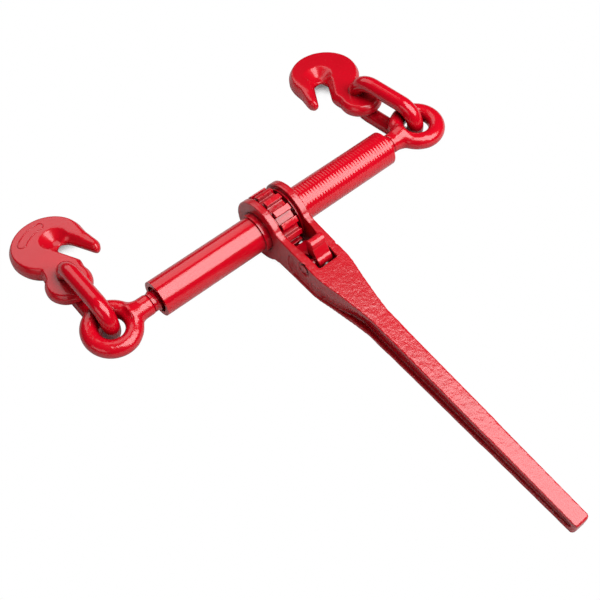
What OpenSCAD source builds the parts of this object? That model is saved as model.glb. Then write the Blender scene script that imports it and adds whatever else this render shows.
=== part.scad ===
// Ratchet load binder with two eye screws, two links and two cradle grab hooks.
// Millimetres, +Z up, +X along the barrel, the lever reaches toward -Y.
// The part stands on Z = 0 and its origin is under the middle of its outline.

/* [Barrel] */
// Outside diameter of the barrel tube
tube_d = 33.4; // [30:0.2:38]
// Half the length of the barrel
half_len = 129.7; // [115:0.5:150]
// Diameter of the relief bore and of the open mouth
relief_d = 24.8; // [22.4:0.2:26]
// Depth of the open mouth before the thread starts
mouth_depth = 7; // [4:0.5:12]
// Length of the threaded part of each barrel half
thread_len = 24; // [18:1:30]

/* [Eye screws] */
// Outside diameter of the screw thread
thread_d = 19.8; // [18:0.2:20.4]
// Diameter of the plain shank behind the eye
shank_d = 18.8; // [16:0.2:19.2]
// Distance from the barrel's middle to the left eye's centre, screws in
left_reach = 175.3; // [165:0.1:200]
// Distance from the barrel's middle to the right eye's centre, screws in
right_reach = 172.4; // [165:0.1:200]
// Radius of the eye's centre line
eye_r = 19; // [18:0.25:24]
// Diameter of the eye's round section
eye_bar = 16; // [12:0.25:16.5]
// Lean of the left eye about the barrel axis
left_eye_lean = 5; // [-9:0.5:6]
// Lean of the right eye about the barrel axis
right_eye_lean = -1; // [-9:0.5:6]
// Free end of the screw to the barrel's middle
screw_gap = 5; // [4:0.5:12]
// Length of thread outside the barrel, screws in
thread_out = 6; // [3:0.5:8]
// Length of the flare where the shank meets the eye
flare_len = 12; // [8:0.5:14]
// Rise of that flare over the shank
flare_t = 3.4; // [2:0.2:4]
// Step of the screw's end inside the stop collar
stop_step = 3; // [2:0.5:4]
// Thickness of the stop collar on the screw's inner end
stop_t = 5; // [3:0.5:8]

/* [Ratchet gear] */
// Outside radius over the teeth
gear_r = 29.5; // [27:0.25:31]
// Width of the gear along the barrel
gear_w = 17; // [14:0.5:17.5]
// Depth of the tooth gaps
tooth_h = 4.6; // [3.6:0.2:6]
// Share of the tooth pitch that is gap
gap_share = 0.545; // [0.5:0.005:0.6]
// Offset of the gear's middle along the barrel
gear_x = -1.6; // [-1.8:0.1:0]

/* [Lever] */
// Radius of the two ears round the barrel
ear_r = 29.5; // [28:0.25:32]
// Half the width over the ears
yoke_half = 19.2; // [18:0.2:22]
// Half the gap between the ears
ear_gap = 12.3; // [12.3:0.1:13]
// Half the width of the window at its far end
window_half = 10.2; // [9.2:0.1:12]
// Distance from the barrel axis to the window's far end
window_end = 70.2; // [68.6:0.2:78]
// Distance from the barrel axis to the lever's end
lever_len = 364; // [300:1:420]
// Distance from the barrel axis to where the beam starts
beam_u = 136; // [128:1:146]
// Length of the solid end of the beam
end_len = 9; // [7:0.5:12]
// Rise of the ears' roots over the yoke
ear_flare = 6; // [4:0.5:8]
// Depth of the side pockets beside the pawl
pocket_t = 2.4; // [1.6:0.1:3]
// Half depth of the yoke beside the ears
yoke_deep = 17.2; // [16.5:0.1:19]
// Half depth of the beam where it starts
beam_deep = 12.9; // [11:0.1:14]
// Half depth of the beam at its end
end_deep = 7.6; // [6.5:0.1:9]
// Half width of the beam where it starts
beam_half = 8.9; // [7.5:0.1:10]
// Half width of the beam at its end
end_half = 7.4; // [6.5:0.1:8]
// Half thickness of the web between the side pockets
web_half = 4.4; // [3:0.2:5.2]
// Height of the flanges above and below a side pocket
flange_t = 3.6; // [2.5:0.1:4.5]
// Angle of the lever below level
lever_tilt = 3.2; // [0:0.1:6]
// Wall of the two bushes in the ears
bush_t = 1.9; // [1.5:0.1:3]
// Length of a bush outside its ear
bush_out = 5.2; // [3:0.2:8]
// Thickness of a thrust washer
washer_t = 2; // [1.5:0.1:2]
// Radius of a thrust washer
washer_r = 25; // [22:0.5:26]

/* [Pawl] */
// Distance of the pawl pin from the barrel axis, along the lever
pin_u = 59.4; // [59:0.1:60]
// Height of the pawl pin over the lever's centre line
pin_v = 9; // [8:0.1:9.4]
// Diameter of the pawl pin
pin_d = 8; // [6:0.5:9]
// Diameter of the recess round each pin end
recess_d = 13.4; // [11:0.2:14]
// Depth of that recess
recess_t = 2.2; // [1.5:0.1:2.6]
// Radius of the pawl's hub
hub_r = 8; // [7:0.1:8.4]
// Width of the pawl
pawl_w = 15; // [12:0.5:17]
// Offset of the pawl's middle along the barrel
pawl_x = 1; // [0:0.1:1.5]
// Height of the thumb tab over the pin
tab_h = 20.4; // [16:0.2:22]
// Radius of the thumb tab's rounded top
tab_r = 5; // [4:0.2:5.6]
// Width of the pawl's nose
nose_w = 3.4; // [2.8:0.1:3.6]
// Turn of the pawl that drops its nose into a tooth gap
engage = 8.25; // [7.5:0.25:8.5]
// Diameter of the plunger behind the pawl
plunger_d = 7; // [5:0.5:8]
// Length of the plunger
plunger_len = 12; // [8:0.5:14]
// Length of the plunger's spring
spring_len = 13; // [10:0.5:16]
// Wire of the plunger's spring
spring_wire = 1.1; // [0.8:0.1:1.3]

/* [Links] */
// Diameter of the link bar
link_bar = 15.5; // [12:0.25:15.75]
// Radius of the link's round ends, to the bar's centre
link_r = 19.2; // [19:0.1:24]
// Length of the link's straight sides
link_side = 33; // [28:0.5:44]
// Nearness of the link to the eye's centre
link_near = 1.1; // [-1:0.1:1.4]
// Slope of the left link down to its far end
left_link_slope = 2.3; // [2:0.1:5]
// Slope of the right link down to its far end
right_link_slope = 0; // [0:0.1:5]
// Turn of the left link away from square
left_link_turn = 1; // [-3:0.5:3]
// Turn of the right link toward the barrel
right_link_turn = 9; // [0:0.5:12]

/* [Hooks] */
// Thickness of the bow
bow_t = 17.5; // [14:0.5:20]
// Thickness of the hook's eye
hook_eye_t = 14.5; // [12:0.5:16]
// Radius of the bow's outline
bow_r = 35; // [32:0.5:37]
// Distance from the eye centre to the bow centre
bow_reach = 51; // [49:0.5:54]
// Sideways offset of the bow centre
bow_side = 9; // [8:0.5:12]
// Half width of the shank between eye and bow
shank_half = 18.3; // [17:0.1:19]
// Thickness of the tip
tip_t = 14; // [10:0.5:16]
// Half width of the tip where it leaves the bow
tip_half = 6.9; // [6:0.1:7.5]
// Radius of the tip's round end
tip_r = 5.4; // [4.6:0.1:6]
// Distance along the hook from the eye centre to the tip's end
tip_reach = 21; // [19:0.5:24]
// Sideways distance from the bow centre to the tip's end
tip_side = 30.2; // [28.5:0.1:31]
// Half width of the chain slot
slot_half = 6.8; // [5:0.1:7.4]
// Distance along the hook from the eye centre to the slot's round bottom
slot_reach = 39.5; // [38:0.5:41]
// Sideways distance from the eye centre to the slot's round bottom
slot_side = 19.5; // [18:0.5:21]
// Spread of the slot's walls from its crest to a face
groove_w = 5; // [3:0.25:6]
// Half height of the slot's crest at mid thickness
crest = 1.5; // [1:0.25:2.5]
// Radius of the dish at the slot's bottom
dish_r = 13.5; // [11:0.25:15]
// Radius of that dish at the slot's crest
dish_deep = 3.2; // [2:0.2:5]
// Radius of the hook eye's outline
hook_eye_r = 21; // [20.5:0.1:24]
// Half width of the hook eye's hole
hook_hole_r = 11.25; // [11:0.25:12]
// Stretch of the hook eye's hole along the hook
hook_hole_long = 11; // [9:0.25:11]
// Width of the bevel round the hook's outline
edge_bevel = 3.2; // [1:0.1:3.5]
// Slope of the hook down to the surface it lies on
hook_slope = 9.5; // [9:0.5:11]
// Sideways play taken up by the left hook on its link
left_hook_shift = 1.5; // [0:0.5:2]
// Turn of the right hook against its link
right_hook_turn = 17; // [0:0.5:20]

/* [Hidden] */
$fn = 36;
// clearances: running fits, loose pieces, the nose in its gap and the arm off the gear
run_gap = 0.05;
loose_gap = 0.4;
nose_gap = 2.2;
arm_gap = 1.2;
// how far a cut runs past the face it opens, and how little one cut may step inside another
past = 1;
step = 0.05;
// gear teeth and their rest angle, from straight up toward the lever
teeth = 14;
pitch = 360 / teeth;
gap_angle = 88 + pitch;
root_r = gear_r - tooth_h;
gap_half = gear_r * sin(pitch * gap_share / 2);
tube_r = tube_d / 2;
bush_r = tube_r + run_gap + bush_t;
end_round = 3;
wide = 3 * ear_r;
// everything turns about the barrel axis, which lies this high and this far back
axis_z = ear_r;
axis_x = (left_reach - right_reach) / 2;
link_c2 = link_near + link_r + link_side;
link_far = link_c2 + link_r;
link_rise = link_r + link_bar / 2 - axis_z;
slot_at = [slot_side, slot_reach];
slot_turn = -66.4;
hook_drop = bow_reach + bow_r - edge_bevel;
hook_mid_z = bow_t / 2 * cos(hook_slope) + hook_drop * sin(hook_slope);
hole_end = hook_hole_r + hook_hole_long / 2;
hook_eye_y = link_far + link_bar / 2 + loose_gap - hole_end * cos(hook_slope) + hook_eye_t / 2 * sin(hook_slope);
far_y = hook_eye_y + (bow_reach + bow_r) * cos(hook_slope) + bow_t / 6 * sin(hook_slope);
near_y = lever_len * cos(lever_tilt) + (end_deep - end_round) * sin(lever_tilt);
axis_y = (near_y - far_y) / 2;
steel = [0.72, 0.72, 0.70];
red = [0.78, 0.02, 0.05];
// the yoke's shoulder and the floor of its side pockets: share of the way to the beam, share of the narrowing
shoulder = [[0.06, 0.06], [0.18, 0.14], [0.42, 0.45], [0.76, 0.81], [1, 1]];
pocket_fall = [[0.06, 0], [0.21, 0.16], [0.45, 0.44], [0.64, 0.76], [0.82, 1]];

// ---- placing -------------------------------------------------------------

module on_axis() {
    translate([axis_x, axis_y, axis_z]) children();
}

// children drawn in lever coordinates: x along the barrel, -y along the lever, z up
module in_lever() {
    on_axis() rotate([lever_tilt, 0, 0]) children();
}

// a 2-D shape drawn as (distance along the lever, height), made w wide along the barrel
module lever_slab(w) {
    rotate([0, 0, -90]) rotate([90, 0, 0]) translate([0, 0, -w / 2]) linear_extrude(w) children();
}

// a 2-D shape drawn as (distance along the lever, sideways), made h high
module lever_plan(h) {
    rotate([0, 0, -90]) translate([0, 0, -h / 2]) linear_extrude(h) children();
}

module along_x(x0, x1, r) {
    translate([x0, 0, 0]) rotate([0, 90, 0]) cylinder(h = x1 - x0, r = r);
}

// ---- lever ---------------------------------------------------------------

module rounded_end_2d(u0, u1, half0, half1, r) {
    polygon([[u0, -half0], [u1 - r, -half1], [u1 - r, half1], [u0, half0]]);
    translate([u1 - r - 0.01, r - half1]) square([r + 0.01, 2 * (half1 - r)]);
    for (s = [-1, 1]) translate([u1 - r, s * (half1 - r)]) circle(r);
}

// part of the way from one value to another
function between(a, b, f) = a + f * (b - a);

// part of the way from the window's end to the beam
function toward_beam(f) = between(window_end, beam_u, f);

// a closed outline from its upper half, drawn both ways about the centre line
module both_sides(half) {
    n = len(half);
    polygon([for (k = [0:2 * n - 1]) k < n ? [half[k][0], -half[k][1]] : half[2 * n - 1 - k]]);
}

module lever_side_2d() {
    rounded_end_2d(beam_u, lever_len, beam_deep, end_deep, end_round);
    both_sides([[0, yoke_deep + ear_flare], [0.75 * ear_r, yoke_deep + ear_flare / 3], [1.02 * ear_r, yoke_deep],
        [toward_beam(0.15), between(yoke_deep, beam_deep, 0.42)], [beam_u, beam_deep]]);
}

module lever_plan_2d() {
    rounded_end_2d(beam_u, lever_len, beam_half, end_half, end_round);
    both_sides([[0, yoke_half], for (p = shoulder) [toward_beam(p[0]), between(yoke_half, beam_half, p[1])]]);
}

// the pocket in each side of the beam, seen from the side
module beam_pocket_2d() {
    start_h = beam_deep - flange_t;
    end_h = end_deep - flange_t;
    polygon([[toward_beam(0.51), -start_h], [beam_u, -start_h], [lever_len - end_len, -end_h],
        [lever_len - end_len, end_h], [beam_u, start_h], [toward_beam(0.64), 0.56 * start_h]]);
    translate([lever_len - end_len, 0]) circle(end_h);
}

// the shallow start of the pocket, which passes under the pawl pin's boss
module yoke_pocket_2d() {
    b = recess_d / 2;
    low = yoke_deep - flange_t;
    polygon([[pin_u - 3 * b, 0.75 * b], [pin_u - 3 * b, -0.6 * b], [pin_u - 2 * b, -0.93 * low],
        [pin_u + 3 * b, -0.92 * low], [toward_beam(0.64), -0.75 * low], [toward_beam(0.64), 0.41 * low],
        [toward_beam(0.38), 0], [pin_u + 1.3 * b, 0], [pin_u - 0.2 * b, -0.1 * b],
        [pin_u - 1.25 * b, 0.2 * b], [pin_u - 1.55 * b, 0.75 * b]]);
    translate([pin_u - 2.22 * b, 0.8 * b]) circle(0.75 * b);
}

module pocket_floor_2d() {
    start = pin_u - 2 * recess_d;
    floor_half = yoke_half - pocket_t;
    polygon([[start, floor_half], for (p = pocket_fall) [toward_beam(p[0]), between(floor_half, web_half, p[1])],
        [lever_len, web_half], [lever_len, yoke_half + past], [start, yoke_half + past]]);
}

module side_pockets() {
    for (s = [0, 1]) mirror([s, 0, 0]) intersection() {
        lever_plan(wide) pocket_floor_2d();
        lever_slab(wide) {
            beam_pocket_2d();
            yoke_pocket_2d();
        }
    }
}

module window() {
    ears_end = between(ear_r, window_end, 0.11);
    cheeks = between(ear_r, window_end, 0.455);
    lever_plan(wide) polygon([[-wide, -ear_gap], [ears_end, -ear_gap], [cheeks, -window_half],
        [window_end, -window_half], [window_end, window_half], [cheeks, window_half], [ears_end, ear_gap],
        [-wide, ear_gap]]);
}

module handle() {
    color(red) in_lever() difference() {
        union() {
            along_x(-yoke_half, yoke_half, ear_r);
            intersection() {
                lever_slab(2 * yoke_half) lever_side_2d();
                lever_plan(wide) lever_plan_2d();
            }
        }
        window();
        side_pockets();
        along_x(-yoke_half - past, yoke_half + past, bush_r);
        translate([0, -pin_u, pin_v]) {
            along_x(-yoke_half - past, yoke_half + past, pin_d / 2);
            for (s = [-1, 1]) translate([s * yoke_half, 0, 0]) along_x(-recess_t, recess_t, recess_d / 2);
        }
        translate([0, past - window_end, pin_v]) rotate([90, 0, 0])
            cylinder(h = plunger_len + spring_len + past, r = plunger_d / 2 + run_gap);
    }
}

module bush(s) {
    color(red) on_axis() mirror([s, 0, 0]) difference() {
        along_x(-yoke_half - bush_out, -ear_gap, bush_r);
        along_x(-yoke_half - bush_out - past, past - ear_gap, tube_r + run_gap);
    }
}

module left_bush() {
    bush(0);
}

module right_bush() {
    bush(1);
}

// ---- barrel --------------------------------------------------------------

module ratchet_gear() {
    color(red) on_axis() difference() {
        along_x(gear_x - gear_w / 2, gear_x + gear_w / 2, gear_r);
        along_x(gear_x - gear_w, gear_x + gear_w, tube_r);
        for (k = [0:teeth - 1]) rotate([gap_angle + k * pitch, 0, 0])
            translate([gear_x - gear_w, -gap_half, root_r]) cube([2 * gear_w, 2 * gap_half, gear_r]);
    }
}

module barrel_half(s) {
    color(red) on_axis() mirror([s, 0, 0]) difference() {
        along_x(-half_len, s == 0 ? gear_x : -gear_x, tube_r);
        along_x(-half_len - past, mouth_depth - half_len, relief_d / 2);
        along_x(-half_len, gear_w, thread_d / 2 + run_gap);
        along_x(mouth_depth + thread_len - half_len, gear_w, relief_d / 2);
    }
}

module left_barrel() {
    barrel_half(0);
}

module right_barrel() {
    barrel_half(1);
}

module thrust_washer(s) {
    color(red) on_axis() mirror([s, 0, 0]) difference() {
        along_x(run_gap - ear_gap, run_gap - ear_gap + washer_t, washer_r);
        along_x(-ear_gap - past, past, tube_r + run_gap);
    }
}

module left_thrust_washer() {
    thrust_washer(0);
}

module right_thrust_washer() {
    thrust_washer(1);
}

// ---- pawl ----------------------------------------------------------------

// a point round the barrel axis, seen from the pawl pin
function round_gear(r, a) = [r * cos(a) - pin_u, r * sin(a) - pin_v];

// the pawl's side outline about its pin: lever distance along x, height along y
module pawl_2d() {
    nose_r = root_r + nose_gap;
    arm_r = gear_r + arm_gap;
    nose_a = lever_tilt + 90 - gap_angle;
    nose_half = asin(nose_w / 2 / gear_r);
    tab_at = [-0.95 * hub_r, tab_h - tab_r];
    // drawn with the nose in its tooth gap, then swung clear
    rotate(engage) {
        circle(hub_r);
        polygon([round_gear(nose_r, nose_a - nose_half), round_gear(arm_r + 0.3 * hub_r, nose_a - nose_half),
            round_gear(arm_r + 0.75 * hub_r, nose_a - 6), hub_r * [-2.5, -2.12], hub_r * [-0.12, -0.96],
            hub_r * [0.25, 0], hub_r * [-0.9, 0.38], round_gear(arm_r, nose_a + 25), round_gear(arm_r, nose_a + 14),
            round_gear(arm_r, nose_a + nose_half), round_gear(nose_r, nose_a + nose_half)]);
    }
    // thumb tab with a round top, leaning toward the gear
    polygon([hub_r * [-0.8, -0.25], hub_r * [0.12, -0.12], hub_r * [0.84, 0.3], tab_at + 0.8 * tab_r * [cos(32), sin(32)],
        tab_at, tab_at - [0.8 * tab_r, 0], hub_r * [-1.32, 1.12]]);
    translate(tab_at) circle(tab_r);
}

module pawl() {
    color(red) in_lever() translate([pawl_x, -pin_u, pin_v]) difference() {
        lever_slab(pawl_w) pawl_2d();
        along_x(-pawl_w, pawl_w, pin_d / 2 + run_gap);
    }
}

module pawl_pin() {
    color(red) in_lever() translate([0, -pin_u, pin_v]) along_x(1 - yoke_half, yoke_half - 1, pin_d / 2);
}

module pawl_plunger() {
    color(steel) in_lever() translate([0, -pin_u - hub_r - loose_gap, pin_v]) rotate([90, 0, 0])
        cylinder(h = plunger_len, r = plunger_d / 2);
}

module pawl_spring() {
    start = pin_u + hub_r + loose_gap + plunger_len + spring_wire;
    coils = 4;
    coil_r = (plunger_d - spring_wire) / 2 - loose_gap / 2;
    rise = (spring_len - 2 * spring_wire) / (coils - 1);
    color(steel) in_lever() translate([0, -start, pin_v]) rotate([90, 0, 0]) rotate_extrude($fn = 18) {
        for (k = [0:coils - 1]) translate([coil_r, k * rise]) circle(spring_wire / 2, $fn = 14);
        translate([coil_r - spring_wire / 4, 0]) square([spring_wire / 2, (coils - 1) * rise]);
    }
}

// ---- eye screws ----------------------------------------------------------

module eye_screw(s, reach, lean) {
    neck = reach - eye_r;
    root = half_len + thread_out;
    color(red) on_axis() mirror([s, 0, 0]) difference() {
        union() {
            translate([-reach, 0, 0]) rotate([lean, 0, 0])
                rotate_extrude() translate([eye_r, 0]) circle(eye_bar / 2, $fn = 20);
            along_x(-neck, -root, shank_d / 2);
            translate([-neck - 2, 0, 0]) rotate([0, 90, 0])
                cylinder(h = flare_len, r1 = shank_d / 2 + flare_t, r2 = shank_d / 2 - step);
            along_x(-root, -screw_gap - stop_t, thread_d / 2);
            along_x(-screw_gap - stop_t - past, -screw_gap, thread_d / 2 - stop_step);
        }
        translate([-reach, 0, 0]) rotate([lean, 0, 0])
            cylinder(h = 4 * eye_bar, r = eye_r - eye_bar / 2, center = true);
    }
}

module left_eye_screw() {
    eye_screw(0, left_reach, left_eye_lean);
}

module right_eye_screw() {
    eye_screw(1, right_reach, right_eye_lean);
}

module stop_collar(s) {
    color(steel) on_axis() mirror([s, 0, 0]) difference() {
        along_x(-screw_gap - stop_t, -screw_gap, relief_d / 2 - loose_gap);
        along_x(-screw_gap - stop_t - past, past, thread_d / 2 - stop_step);
    }
}

module left_stop_collar() {
    stop_collar(0);
}

module right_stop_collar() {
    stop_collar(1);
}

// ---- links ---------------------------------------------------------------

// a link stands in the plane across the barrel, its near end in the eye, its far end on the ground
module link_bar_shape(slope) {
    translate([0, link_c2, link_rise]) rotate([-slope, 0, 0]) {
        for (z = [-link_r, link_r]) translate([0, -link_side, z]) rotate([-90, 0, 0])
            cylinder(h = link_side, r = link_bar / 2, $fn = 20);
        translate([0, -link_side, 0]) rotate([0, 90, 0]) rotate([0, 0, 180])
            rotate_extrude(angle = 180) translate([link_r, 0]) circle(link_bar / 2, $fn = 20);
        rotate([0, 90, 0]) rotate_extrude(angle = 180) translate([link_r, 0]) circle(link_bar / 2, $fn = 20);
    }
}

module left_link() {
    color(red) on_axis() translate([-left_reach, 0, 0]) rotate([0, 0, -left_link_turn]) link_bar_shape(left_link_slope);
}

module right_link() {
    color(red) on_axis() translate([right_reach, 0, 0]) rotate([0, 0, right_link_turn]) link_bar_shape(right_link_slope);
}

// ---- hooks ---------------------------------------------------------------

// half the outline of a forged section: a land at mid thickness, then a draft to each face
function draft(r, t) = [[0, -t / 2], [r - edge_bevel, -t / 2], [r, -t / 6], [r, t / 6], [r - edge_bevel, t / 2], [0, t / 2]];

module forged_disc(r, t) {
    rotate_extrude() polygon(draft(r, t));
}

// a straight stretch of the same section from one point to another
module forged_bar(from, to, r, t) {
    d = to - from;
    translate([from[0], from[1], 0]) rotate([0, 0, atan2(d[1], d[0])]) rotate([90, 0, 90]) linear_extrude(norm(d))
        for (m = [0, 1]) mirror([m, 0]) polygon(draft(r, t));
}

module hook_body() {
    tip_root = [bow_side + bow_r - 1.2 * tip_half, bow_reach];
    tip_end = [bow_side + tip_side, tip_reach];
    forged_disc(hook_eye_r, hook_eye_t);
    translate([bow_side, bow_reach, 0]) forged_disc(bow_r, bow_t);
    forged_bar([bow_side / 8, edge_bevel], [bow_side, bow_reach - edge_bevel], shank_half, hook_eye_t + past);
    forged_bar(tip_root, tip_end, tip_half, tip_t);
    translate(tip_end) forged_disc(tip_r, tip_t - past);
}

// the walls of the slot that grips a chain link edgewise, opening out past both faces
function groove(half, spread) = [[0, -bow_t], [half + spread, -bow_t], [half, -crest], [half, crest],
    [half + spread, bow_t], [0, bow_t]];

// how far a sloping wall has spread where it leaves the cut, well past the face
function spread_past(w) = w * (bow_t - crest) / (bow_t / 2 - crest);

module slot() {
    spread = spread_past(groove_w);
    translate(slot_at) {
        rotate_extrude() polygon(groove(slot_half, spread));
        rotate([0, 0, slot_turn]) rotate([90, 0, 90]) linear_extrude(3 * hook_eye_r)
            for (m = [0, 1]) mirror([m, 0]) polygon(groove(slot_half - step, spread));
    }
    for (m = [0, 1]) mirror([0, 0, m]) translate([slot_side - slot_half / 2, slot_reach + 1.5 * slot_half, crest])
        cylinder(h = bow_t - crest, r1 = dish_deep, r2 = dish_deep + spread_past(dish_r - dish_deep));
}

module hook_hole() {
    for (y = [-1, 1]) translate([0, y * hook_hole_long / 2, 0])
        cylinder(h = 2 * bow_t, r = hook_hole_r, center = true);
    cube([2 * (hook_hole_r - step), hook_hole_long, 2 * bow_t], center = true);
}

module grab_hook() {
    difference() {
        hook_body();
        slot();
        hook_hole();
    }
}

module left_hook() {
    color(red) on_axis() translate([-left_reach, 0, 0]) rotate([0, 0, -left_link_turn])
        translate([-left_hook_shift, hook_eye_y, hook_mid_z - axis_z]) rotate([-hook_slope, 0, 0]) grab_hook();
}

module right_hook() {
    color(red) on_axis() translate([right_reach, 0, 0]) rotate([0, 0, right_link_turn])
        translate([0, link_far, 0]) rotate([0, 0, -right_hook_turn]) translate([0, hook_eye_y - link_far, 0])
        translate([0, 0, hook_mid_z - axis_z]) rotate([-hook_slope, 0, 0]) mirror([1, 0, 0]) grab_hook();
}

handle();
left_bush();
right_bush();
ratchet_gear();
left_barrel();
right_barrel();
left_thrust_washer();
right_thrust_washer();
pawl();
pawl_pin();
pawl_plunger();
pawl_spring();
left_eye_screw();
right_eye_screw();
left_stop_collar();
right_stop_collar();
left_link();
right_link();
left_hook();
right_hook();
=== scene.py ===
import bpy, math
from mathutils import Matrix, Vector


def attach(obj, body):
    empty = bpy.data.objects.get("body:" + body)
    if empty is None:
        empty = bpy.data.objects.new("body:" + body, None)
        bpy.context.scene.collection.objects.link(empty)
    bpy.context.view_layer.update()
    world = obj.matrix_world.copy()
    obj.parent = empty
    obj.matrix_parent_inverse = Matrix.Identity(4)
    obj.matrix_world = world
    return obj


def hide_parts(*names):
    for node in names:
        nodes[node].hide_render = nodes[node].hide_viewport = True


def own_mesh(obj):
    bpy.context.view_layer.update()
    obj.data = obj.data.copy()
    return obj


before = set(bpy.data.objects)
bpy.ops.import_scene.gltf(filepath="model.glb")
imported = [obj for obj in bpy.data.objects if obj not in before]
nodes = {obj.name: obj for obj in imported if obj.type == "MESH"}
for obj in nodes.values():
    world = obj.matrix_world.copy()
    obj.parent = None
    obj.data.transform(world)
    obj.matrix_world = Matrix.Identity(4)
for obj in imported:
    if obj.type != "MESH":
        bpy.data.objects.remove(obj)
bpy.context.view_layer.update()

# ---- Stage -----------------------------------------------------------------
# The binder lies on a wide pale board that reads as white from the camera, but for
# places roofed over closely, as under the pawl's window. A large soft box stands over its
# front right, with weaker ones behind and to the left.
axis = Vector((0.00145, 0.10653, 0.0295))  # middle of the barrel, on its axis
stand = axis + Vector((-0.3641, -0.4624, 0.7568))
cam_data = bpy.data.cameras.new("camera")
cam_data.lens = 64.8
cam_data.sensor_width = 36
cam_data.clip_start = 0.01
cam_data.clip_end = 20
camera = bpy.data.objects.new("camera", cam_data)
bpy.context.scene.collection.objects.link(camera)
right = Vector((0.7622, -0.6473, 0.0)).normalized()
back = Vector((-0.3584, -0.4221, 0.8328)).normalized()
up = back.cross(right).normalized()
camera.matrix_world = Matrix.Translation(stand) @ Matrix((right, up, back)).transposed().to_4x4()
bpy.context.scene.camera = camera

bpy.ops.mesh.primitive_plane_add(size=6, location=(0, 0, 0))
floor = bpy.context.active_object
floor.name = "floor"
floor_mat = bpy.data.materials.new("pale board")
floor_mat.use_nodes = True
nt = floor_mat.node_tree
board = nt.nodes["Principled BSDF"]
board.inputs["Base Color"].default_value = (0.45, 0.45, 0.45, 1)
board.inputs["Roughness"].default_value = 0.9
path = nt.nodes.new("ShaderNodeLightPath")
white = nt.nodes.new("ShaderNodeEmission")
white.inputs["Color"].default_value = (1, 1, 1, 1)
white.inputs["Strength"].default_value = 1.0
mix = nt.nodes.new("ShaderNodeMixShader")
roof = nt.nodes.new("ShaderNodeAmbientOcclusion")
roof.samples = 16
roof.inputs["Distance"].default_value = 0.05
clear = nt.nodes.new("ShaderNodeMapRange")
clear.inputs["From Min"].default_value = 0.08
clear.inputs["From Max"].default_value = 0.15
nt.links.new(roof.outputs["AO"], clear.inputs["Value"])
open_white = nt.nodes.new("ShaderNodeMath")
open_white.operation = "MULTIPLY"
nt.links.new(path.outputs["Is Camera Ray"], open_white.inputs[0])
nt.links.new(clear.outputs["Result"], open_white.inputs[1])
nt.links.new(open_white.outputs["Value"], mix.inputs["Fac"])
nt.links.new(board.outputs["BSDF"], mix.inputs[1])
nt.links.new(white.outputs["Emission"], mix.inputs[2])
nt.links.new(mix.outputs["Shader"], nt.nodes["Material Output"].inputs["Surface"])
floor.data.materials.append(floor_mat)

world = bpy.data.worlds.new("studio")
bpy.context.scene.world = world
world.use_nodes = True
wn = world.node_tree
dim = wn.nodes["Background"]
dim.inputs["Color"].default_value = (1, 1, 1, 1)
dim.inputs["Strength"].default_value = 0.03
wpath = wn.nodes.new("ShaderNodeLightPath")
wwhite = wn.nodes.new("ShaderNodeBackground")
wwhite.inputs["Color"].default_value = (1, 1, 1, 1)
wwhite.inputs["Strength"].default_value = 1.0
wmix = wn.nodes.new("ShaderNodeMixShader")
wn.links.new(wpath.outputs["Is Camera Ray"], wmix.inputs["Fac"])
wn.links.new(dim.outputs["Background"], wmix.inputs[1])
wn.links.new(wwhite.outputs["Background"], wmix.inputs[2])
wn.links.new(wmix.outputs["Shader"], wn.nodes["World Output"].inputs["Surface"])
bpy.context.scene.view_settings.view_transform = "Standard"

aim = Vector((0.0, 0.0, 0.03))
for name, place, size, power in (
        ("main soft box", (0.40, -0.48, 1.12), (1.10, 1.44), 29),
        ("soft box behind", (0.03, 1.30, 1.10), (1.15, 1.4), 7.5),
        ("soft box left", (-1.40, -0.25, 0.70), (1.0, 0.6), 2.5)):
    light = bpy.data.lights.new(name, "AREA")
    light.shape = "RECTANGLE"
    light.size, light.size_y = size
    light.energy = power
    lamp = bpy.data.objects.new(name, light)
    bpy.context.scene.collection.objects.link(lamp)
    lamp.location = place
    lamp.rotation_euler = (aim - Vector(place)).to_track_quat("-Z", "Y").to_euler()

# ---- Lever -----------------------------------------------------------------
# One steel forging: two ears, a yoke round the pawl and an I-shaped beam.
# Red gloss paint over a hammered skin, edges rolled over by the dies; 364 mm long.
# It swings about the barrel on the bushes in its ears.
paint = bpy.data.materials.new("red enamel on forging")
paint.use_nodes = True
nt = paint.node_tree
skin = nt.nodes["Principled BSDF"]
where = nt.nodes.new("ShaderNodeTexCoord")
tone = nt.nodes.new("ShaderNodeTexNoise")
tone.name = "tone"
tone.inputs["Scale"].default_value = 40
tone.inputs["Detail"].default_value = 3
nt.links.new(where.outputs["Object"], tone.inputs["Vector"])
tint = nt.nodes.new("ShaderNodeValToRGB")
tint.color_ramp.elements[0].color = (0.54, 0.0005, 0.0085, 1)
tint.color_ramp.elements[1].color = (0.64, 0.0010, 0.0140, 1)
nt.links.new(tone.outputs["Fac"], tint.inputs["Fac"])
# Painted shade: an occlusion test darkens the enamel's base colour down to 28% in recesses,
# creases, tooth gaps and between parts; every copy of this enamel carries it
painted_shade_ao = nt.nodes.new("ShaderNodeAmbientOcclusion")
painted_shade_ao.samples = 8
painted_shade_ao.inputs["Distance"].default_value = 0.008
depth = nt.nodes.new("ShaderNodeMapRange")
depth.inputs["From Min"].default_value = 0.25
depth.inputs["From Max"].default_value = 0.85
depth.inputs["To Min"].default_value = 0.28
nt.links.new(painted_shade_ao.outputs["AO"], depth.inputs["Value"])
shade = nt.nodes.new("ShaderNodeVectorMath")
shade.operation = "SCALE"
nt.links.new(tint.outputs["Color"], shade.inputs[0])
nt.links.new(depth.outputs["Result"], shade.inputs["Scale"])
nt.links.new(shade.outputs["Vector"], skin.inputs["Base Color"])
skin.inputs["Roughness"].default_value = 0.2
skin.inputs["Specular IOR Level"].default_value = 0.5
skin.inputs["Coat Weight"].default_value = 0.3
skin.inputs["Coat Roughness"].default_value = 0.08
hammer = nt.nodes.new("ShaderNodeTexNoise")
hammer.name = "hammer"
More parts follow.
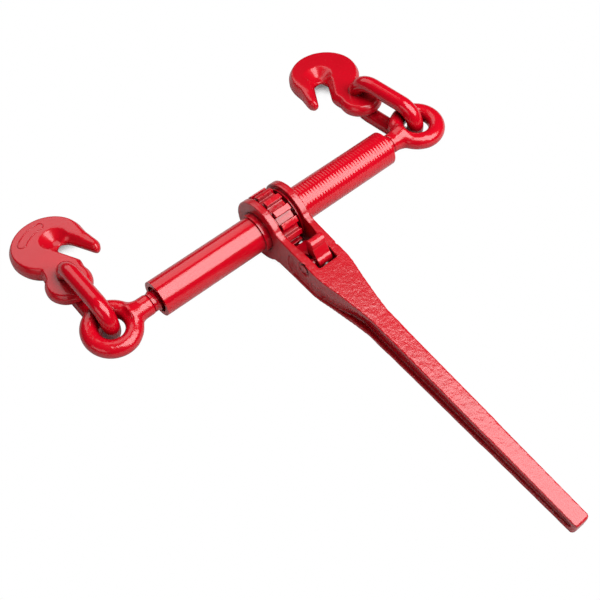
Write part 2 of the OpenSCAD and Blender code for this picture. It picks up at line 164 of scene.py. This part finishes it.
hammer.inputs["Scale"].default_value = 210
hammer.inputs["Detail"].default_value = 3
hammer.inputs["Roughness"].default_value = 0.55
nt.links.new(where.outputs["Object"], hammer.inputs["Vector"])
dents = nt.nodes.new("ShaderNodeBump")
dents.name = "dents"
dents.inputs["Strength"].default_value = 0.62
dents.inputs["Distance"].default_value = 0.0005
nt.links.new(hammer.outputs["Fac"], dents.inputs["Height"])
nt.links.new(dents.outputs["Normal"], skin.inputs["Normal"])
nt.links.new(dents.outputs["Normal"], skin.inputs["Coat Normal"])
hammered = paint.copy()
hammered.name = "red enamel on lever"
worked = hammered.node_tree.nodes
worked["Principled BSDF"].inputs["Roughness"].default_value = 0.27
worked["Principled BSDF"].inputs["Specular IOR Level"].default_value = 0.62
worked["Color Ramp"].color_ramp.elements[0].color = (0.45, 0.0005, 0.0070, 1)
worked["Color Ramp"].color_ramp.elements[1].color = (0.57, 0.0010, 0.0115, 1)
worked["dents"].inputs["Strength"].default_value = 0.65
lever = nodes["handle"]
lever.data.materials.clear()
lever.data.materials.append(hammered)
grain = lever.modifiers.new("even grain", "REMESH")
grain.mode = "VOXEL"
grain.voxel_size = 0.00073
grain.use_smooth_shade = True
roll = lever.modifiers.new("rolled edges", "SMOOTH")
roll.factor = 0.5
roll.iterations = 5

# ---- Barrel ----------------------------------------------------------------
# Two turned steel tubes 33.4 mm across, pressed into the gear from both sides.
# The left one is ground smooth, the right one keeps fine turning rings under the paint.
gloss = paint.copy()
gloss.name = "red enamel on turned steel"
smooth = gloss.node_tree.nodes
smooth["hammer"].inputs["Scale"].default_value = 120
smooth["dents"].inputs["Strength"].default_value = 0.05
smooth["Principled BSDF"].inputs["Roughness"].default_value = 0.16
ringed = gloss.copy()
ringed.name = "red enamel on turning rings"
rt = ringed.node_tree
rings = rt.nodes.new("ShaderNodeTexWave")
rings.wave_type = "BANDS"
rings.bands_direction = "X"
rings.inputs["Scale"].default_value = 105
rings.inputs["Distortion"].default_value = 0.6
rings.inputs["Detail"].default_value = 1
rt.links.new(rt.nodes["Texture Coordinate"].outputs["Object"], rings.inputs["Vector"])
ridge = rt.nodes.new("ShaderNodeBump")
ridge.inputs["Strength"].default_value = 0.42
ridge.inputs["Distance"].default_value = 0.0003
rt.links.new(rings.outputs["Fac"], ridge.inputs["Height"])
rt.links.new(rt.nodes["dents"].outputs["Normal"], ridge.inputs["Normal"])
for layer in ("Normal", "Coat Normal"):
    rt.links.new(ridge.outputs["Normal"], rt.nodes["Principled BSDF"].inputs[layer])
for n, coat in (("left_barrel", gloss), ("right_barrel", ringed)):
    nodes[n].data.materials.clear()
    nodes[n].data.materials.append(coat)
    worn = nodes[n].modifiers.new("broken corners", "BEVEL")
    worn.width = 0.0009
    worn.segments = 3
    worn.limit_method = "ANGLE"
    worn.angle_limit = math.radians(40)

# ---- Ratchet gear ------------------------------------------------------------
# Fourteen square-cut teeth, 59 mm over the tips and 17 mm wide.
# Crisp edges just taken off under the same red enamel; pressed on the barrel.
gear = nodes["ratchet_gear"]
gear.data.materials.clear()
gear.data.materials.append(paint)
grain = gear.modifiers.new("even grain", "REMESH")
grain.mode = "VOXEL"
grain.voxel_size = 0.00035
grain.use_smooth_shade = True
roll = gear.modifiers.new("rolled edges", "SMOOTH")
roll.factor = 0.5
roll.iterations = 3

# ---- Bushes, washers and pin -------------------------------------------------
# Turned rings in the lever's ears, thrust rings beside the gear and the pawl's pin.
# Painted over in place with the lever; corners broken by half a millimetre.
for n in ("left_bush", "right_bush", "left_thrust_washer", "right_thrust_washer", "pawl_pin"):
    nodes[n].data.materials.clear()
    nodes[n].data.materials.append(gloss)
    worn = nodes[n].modifiers.new("broken corners", "BEVEL")
    worn.width = 0.0005
    worn.segments = 2
    worn.limit_method = "ANGLE"
    worn.angle_limit = math.radians(40)

# ---- Pawl --------------------------------------------------------------------
# A forged dog 15 mm wide on its pin, with a nose for the gear and a thumb tab on top.
# Rounded by the dies and painted red.
pawl = nodes["pawl"]
pawl.data.materials.clear()
pawl.data.materials.append(paint)
grain = pawl.modifiers.new("even grain", "REMESH")
grain.mode = "VOXEL"
grain.voxel_size = 0.0004
grain.use_smooth_shade = True
roll = pawl.modifiers.new("rolled edges", "SMOOTH")
roll.factor = 0.5
roll.iterations = 9

# ---- Plunger, spring and stop collars ----------------------------------------
# Bare steel inside the tool: the plunger behind the pawl, its spring and the screws' stops.
# Bright drawn steel with faint drawing lines; the spring is five coils of 1.1 mm wire.
steel = bpy.data.materials.new("drawn steel")
steel.use_nodes = True
st = steel.node_tree
bare = st.nodes["Principled BSDF"]
bare.inputs["Metallic"].default_value = 1.0
place = st.nodes.new("ShaderNodeTexCoord")
drawn = st.nodes.new("ShaderNodeTexNoise")
drawn.inputs["Scale"].default_value = 300
drawn.inputs["Detail"].default_value = 4
st.links.new(place.outputs["Object"], drawn.inputs["Vector"])
grey = st.nodes.new("ShaderNodeValToRGB")
grey.color_ramp.elements[0].color = (0.38, 0.38, 0.37, 1)
grey.color_ramp.elements[1].color = (0.62, 0.61, 0.59, 1)
st.links.new(drawn.outputs["Fac"], grey.inputs["Fac"])
st.links.new(grey.outputs["Color"], bare.inputs["Base Color"])
bare.inputs["Roughness"].default_value = 0.32
for n in ("pawl_plunger", "left_stop_collar", "right_stop_collar"):
    nodes[n].data.materials.clear()
    nodes[n].data.materials.append(steel)
    worn = nodes[n].modifiers.new("broken corners", "BEVEL")
    worn.width = 0.0003
    worn.segments = 2
    worn.limit_method = "ANGLE"
    worn.angle_limit = math.radians(40)
nodes["pawl_spring"].data.materials.clear()
nodes["pawl_spring"].data.materials.append(steel)
wire_r, coil_r = 0.00055, 0.00275
bpy.ops.mesh.primitive_circle_add(vertices=8, radius=wire_r, location=(coil_r, 0, 0),
                                  rotation=(math.pi / 2, 0, 0))
coil = bpy.context.active_object
coil.name = "pawl_spring_coil"
bpy.ops.object.transform_apply(location=True, rotation=True, scale=True)
wind = coil.modifiers.new("five turns", "SCREW")
wind.axis = "Z"
wind.screw_offset = 0.00216
wind.iterations = 5
wind.steps = 20  # a turn
wind.render_steps = 20
bpy.ops.object.modifier_apply(modifier="five turns")
bpy.ops.object.mode_set(mode="EDIT")
bpy.ops.mesh.select_all(action="SELECT")
bpy.ops.mesh.fill_holes(sides=8)
bpy.ops.mesh.normals_make_consistent(inside=False)
bpy.ops.object.mode_set(mode="OBJECT")
inner_end = Vector((0.00145, 0.01447, 0.03337))
coil.matrix_world = Matrix.Translation(inner_end) @ Matrix.Rotation(math.radians(-86.8), 4, "X")
bpy.ops.object.transform_apply(location=True, rotation=True, scale=True)
coil.data.materials.append(steel)
bpy.ops.object.shade_smooth_by_angle(angle=math.radians(50))
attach(coil, "lever")
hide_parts("pawl_spring")
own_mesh(coil)

# ---- Eye screws --------------------------------------------------------------
# Each is one forging: a ring of 16 mm bar flared into a shank, then a rolled thread.
# The ring and shank are enamelled; the thread is 19.8 mm across with a 5.08 mm pitch, of
# opposite hand at the two ends of the barrel.
same_point = 0.000002  # corners closer than this are one
shank_cut = 0.1365  # along the axis from its middle, as the lengths below
throat_mid, throat_reach, throat_gain = 0.1575, 0.0095, 1.8
pitch, turns = 0.00508, 24
thread_start = 0.1339
core_len, core_mid = 0.1265, 0.07325
for side, body, node_name in ((-1, "left_screw", "left_eye_screw"),
                              (1, "right_screw", "right_eye_screw")):
    bpy.ops.object.select_all(action="DESELECT")
    forging = nodes[node_name]
    ring = forging.copy()
    ring.data = forging.data.copy()
    ring.name = "left_eye_and_shank" if side < 0 else "right_eye_and_shank"
    bpy.context.scene.collection.objects.link(ring)
    ring.matrix_world = forging.matrix_world.copy()
    bpy.context.view_layer.objects.active = ring
    ring.select_set(True)
    bpy.ops.object.mode_set(mode="EDIT")
    bpy.ops.mesh.select_all(action="SELECT")
    bpy.ops.mesh.remove_doubles(threshold=same_point)
    bpy.ops.mesh.bisect(plane_co=(axis.x + side * shank_cut, 0, 0), plane_no=(side, 0, 0),
                        use_fill=True, clear_inner=True)
    bpy.ops.object.mode_set(mode="OBJECT")
    ring.data.materials.clear()
    ring.data.materials.append(paint)
    grain = ring.modifiers.new("even grain", "REMESH")
    grain.mode = "VOXEL"
    grain.voxel_size = 0.0006
    grain.use_smooth_shade = True
    roll = ring.modifiers.new("blended flare", "SMOOTH")
    roll.factor = 0.5
    roll.iterations = 36
    bpy.ops.object.modifier_apply(modifier="even grain")
    bpy.ops.object.modifier_apply(modifier="blended flare")
    # the flare runs into the ring without a corner
    throat = ring.vertex_groups.new(name="throat")
    for v in ring.data.vertices:
        off = abs(side * (v.co.x - axis.x) - throat_mid)
        share = throat_gain * (1 - off / throat_reach)
        if share > 0:
            throat.add([v.index], min(1, share), "REPLACE")
    blend = ring.modifiers.new("blended throat", "SMOOTH")
    blend.factor = 0.5
    blend.iterations = 150
    blend.vertex_group = "throat"
    bpy.ops.object.modifier_apply(modifier="blended throat")
    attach(ring, body)
    bpy.ops.mesh.primitive_circle_add(vertices=6, radius=0.0017, location=(0, 0.0082, 0))
    thread = bpy.context.active_object
    thread.name = "left_screw_thread" if side < 0 else "right_screw_thread"
    bpy.ops.object.transform_apply(location=True, rotation=True, scale=True)
    helix = thread.modifiers.new("rolled thread", "SCREW")
    helix.axis = "X"
    helix.screw_offset = -side * pitch
    helix.iterations = turns
    helix.steps = 28
    helix.render_steps = 28
    bpy.ops.object.modifier_apply(modifier="rolled thread")
    bpy.ops.object.mode_set(mode="EDIT")
    bpy.ops.mesh.select_all(action="SELECT")
    bpy.ops.mesh.fill_holes(sides=6)
    bpy.ops.mesh.select_all(action="SELECT")
    bpy.ops.transform.translate(value=(side * thread_start, 0, 0))
    bpy.ops.mesh.primitive_cylinder_add(vertices=48, radius=0.0088, depth=core_len,
                                        location=(side * core_mid, 0, 0),
                                        rotation=(0, math.pi / 2, 0))
    bpy.ops.mesh.select_all(action="SELECT")
    bpy.ops.transform.translate(value=axis)
    bpy.ops.mesh.normals_make_consistent(inside=False)
    bpy.ops.object.mode_set(mode="OBJECT")
    thread.data.materials.append(gloss)
    bpy.ops.object.shade_smooth_by_angle(angle=math.radians(40))
    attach(thread, body)
    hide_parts(node_name)
    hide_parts(node_name)

# ---- Links -------------------------------------------------------------------
# Welded chain links bent from 15.5 mm bar, one through each eye.
# A rough weld collar runs round the lower bar where the ends meet; painted over.
for n in ("left_link", "right_link"):
    nodes[n].data.materials.clear()
    nodes[n].data.materials.append(gloss)
    nodes[n].data.shade_smooth()
for body, x, y, z, turn in (("left_link", -0.1753, 0.0368, -0.0208, -1),
                            ("right_link", 0.1724, 0.0270, -0.0209, 9)):
    lie = math.radians(turn)
    seam = Matrix.Rotation(lie, 3, "Z") @ Vector((0, y, 0)) + Vector((x, 0, z)) + axis
    bpy.ops.mesh.primitive_torus_add(major_segments=40, minor_segments=10,
                                     major_radius=0.0070, minor_radius=0.0012,
                                     location=seam, rotation=(math.pi / 2, 0, lie))
    weld = bpy.context.active_object
    weld.name = body + "_weld"
    bpy.ops.object.mode_set(mode="EDIT")
    bpy.ops.mesh.select_all(action="SELECT")
    bpy.ops.transform.resize(value=(1, 1.7, 1), orient_type="GLOBAL")
    bpy.ops.transform.vertex_random(offset=0.0003, seed=5)
    bpy.ops.mesh.subdivide(number_cuts=1, smoothness=1.0)
    bpy.ops.object.mode_set(mode="OBJECT")
    bpy.ops.object.transform_apply(location=True, rotation=True, scale=True)
    weld.data.materials.append(paint)
    weld.data.shade_smooth()
    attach(weld, body)

# ---- Hooks -------------------------------------------------------------------
# Drop-forged cradle grab hooks, 17.5 mm through the bow, with a dished slot for a chain link.
# The shank and tip run into the bow in one sweep, die-rounded all over and enamelled.
# Each seat is the frame of a hook: origin in the link's hole, Y along the shank.
left_seat = (Matrix.Translation(axis + Vector((-0.1753, 0, 0)))
             @ Matrix.Rotation(math.radians(-1), 4, "Z")
             @ Matrix.Translation((-0.0015, 0.06533, -0.0072))
             @ Matrix.Rotation(math.radians(-9.5), 4, "X"))
right_seat = (Matrix.Translation(axis + Vector((0.1724, 0, 0)))
              @ Matrix.Rotation(math.radians(9), 4, "Z")
              @ Matrix.Translation((0, 0.0725, 0))
              @ Matrix.Rotation(math.radians(-17), 4, "Z")
              @ Matrix.Translation((0, -0.00717, -0.0072))
              @ Matrix.Rotation(math.radians(-9.5), 4, "X"))
forged = paint.copy()
forged.name = "red enamel on hook"
dressed = forged.node_tree.nodes
dressed["Principled BSDF"].inputs["Roughness"].default_value = 0.26
dressed["hammer"].inputs["Scale"].default_value = 240
dressed["dents"].inputs["Strength"].default_value = 0.25
same_point = 0.000002  # corners closer than this are one
bow_middle, half_thick, fall = 0.045, 0.00875, -0.0357
tip_from, tip_ramp = 0.022, 0.010
tip_end, tip_fade = 0.062, 0.012
for hand, node_name, seat in ((1, "left_hook", left_seat), (-1, "right_hook", right_seat)):
    bpy.ops.object.select_all(action="DESELECT")
    forging = nodes[node_name]
    hook = forging.copy()
    hook.data = forging.data.copy()
    hook.name = node_name + "_forged"
    bpy.context.scene.collection.objects.link(hook)
    hook.matrix_world = forging.matrix_world.copy()
    bpy.context.view_layer.objects.active = hook
    hook.select_set(True)
    bpy.ops.object.mode_set(mode="EDIT")
    bpy.ops.mesh.select_all(action="SELECT")
    bpy.ops.mesh.remove_doubles(threshold=same_point)
    # leaving edit mode and coming back settles the mesh before it is cut
    bpy.ops.object.mode_set(mode="OBJECT")
    bpy.ops.object.mode_set(mode="EDIT")
    # both faces fall in one plane from the bow's middle to the eye; the link's hole comes
    # out closed
    for face in (1, -1):
        bpy.ops.mesh.select_all(action="SELECT")
        bpy.ops.mesh.bisect(plane_co=seat @ Vector((0, bow_middle, face * half_thick)),
                            plane_no=seat.to_3x3() @ Vector((0, fall, face)),
                            use_fill=True, clear_outer=True)
    bpy.ops.object.mode_set(mode="OBJECT")
    # the tip thins out from the bow's full thickness
    bpy.ops.mesh.primitive_cone_add(vertices=4, radius1=0.01237, radius2=0.00990, depth=0.024,
                                    rotation=(0, 0, math.pi / 4))
    sweep = bpy.context.active_object
    bpy.ops.object.transform_apply(location=True, rotation=True, scale=True)
    sweep.matrix_world = (seat @ Matrix.Translation((hand * 0.0389, 0.0385, 0))
                          @ Matrix.Rotation(math.radians(hand * 6.5), 4, "Z")
                          @ Matrix.Rotation(math.pi / 2, 4, "X")
                          @ Matrix.Diagonal((0.38, 1, 1, 1)))
    bpy.ops.object.select_all(action="DESELECT")
    sweep.select_set(True)
    hook.select_set(True)
    bpy.context.view_layer.objects.active = hook
    bpy.ops.object.join()
    hook.data.materials.clear()
    hook.data.materials.append(forged)
    grain = hook.modifiers.new("even grain", "REMESH")
    grain.mode = "VOXEL"
    grain.voxel_size = 0.0006
    grain.use_smooth_shade = True
    roll = hook.modifiers.new("rolled edges", "SMOOTH")
    roll.factor = 0.5
    roll.iterations = 30
    bpy.ops.object.modifier_apply(modifier="even grain")
    bpy.ops.object.modifier_apply(modifier="rolled edges")
    # the tip's corners are drawn down further than the bow's
    drawn_out = hook.vertex_groups.new(name="tip")
    for v in hook.data.vertices:
        local = seat.inverted() @ v.co
        out = hand * local.x
        if out > tip_from and local.y < tip_end:
            share = min(1, (out - tip_from) / tip_ramp) * min(1, (tip_end - local.y) / tip_fade)
            drawn_out.add([v.index], share, "REPLACE")
    draw = hook.modifiers.new("drawn tip", "SMOOTH")
    draw.factor = 0.5
    draw.iterations = 80
    draw.vertex_group = "tip"
    bpy.ops.object.modifier_apply(modifier="drawn tip")
    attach(hook, node_name)
    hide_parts(node_name)

# ---- Panel border on the left hook --------------------------------------------
# A bare raised border, 33 mm by 8 mm and half a millimetre proud, forged on the bow's top
# along its back edge. Nothing is written inside it.
bpy.ops.mesh.primitive_plane_add(size=1)
border = bpy.context.active_object
border.name = "left_hook_panel_border"
bpy.ops.object.mode_set(mode="EDIT")
bpy.ops.transform.resize(value=(0.033, 0.008, 1))
bpy.ops.mesh.bevel(offset=0.0039, segments=6, affect="VERTICES")
bpy.ops.mesh.delete(type="ONLY_FACE")
bpy.ops.mesh.select_all(action="SELECT")
bpy.ops.mesh.subdivide(number_cuts=5)
bpy.ops.object.mode_set(mode="OBJECT")
arc = border.modifiers.new("round the bow", "SIMPLE_DEFORM")
arc.deform_method = "BEND"
arc.deform_axis = "Z"
arc.angle = math.radians(-60)
bpy.ops.object.modifier_apply(modifier="round the bow")
bpy.ops.object.convert(target="CURVE")
border.data.bevel_depth = 0.00055
border.data.bevel_resolution = 2
bpy.ops.object.convert(target="MESH")
border = bpy.context.active_object
border.matrix_world = (left_seat @ Matrix.Translation((0.009, 0.051, 0.00878))
                       @ Matrix.Rotation(math.radians(22.8), 4, "Z")
                       @ Matrix.Translation((0, 0.0200, 0)))
bpy.ops.object.transform_apply(location=True, rotation=True, scale=True)
border.data.materials.clear()
border.data.materials.append(forged)
border.data.shade_smooth()
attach(border, "left_hook")
